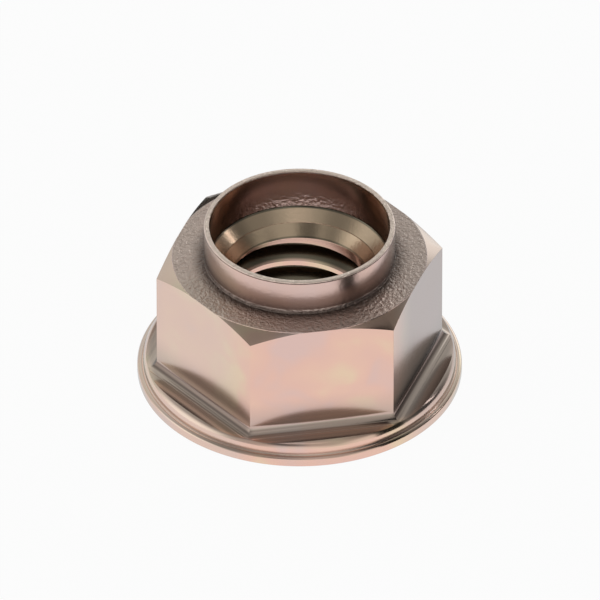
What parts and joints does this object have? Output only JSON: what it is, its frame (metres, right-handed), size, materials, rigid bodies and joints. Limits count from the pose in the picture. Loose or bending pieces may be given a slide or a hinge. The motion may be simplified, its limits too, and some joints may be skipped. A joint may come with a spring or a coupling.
{
  "type": "hex flange lock nut",
  "caption": "Hexagon nut with a flared foot on a beaded bearing flange, chamfered top corners and a thin round locking collar around the threaded bore.",
  "frame": {"origin": "centre of the flat bearing face under the flange", "axes": "+Z along the thread axis from the bearing face towards the collar, +X through one corner of the hexagon"},
  "size_m": [0.0186, 0.0186, 0.0102],
  "materials": {
    "plated_steel": "zinc plating with a warm iridescent passivated film, satin, smooth on the flats and slightly rough on the top face"
  },
  "bodies": {
    "root": {"flange_lock_nut": "plated_steel"}
  },
  "joints": []
}
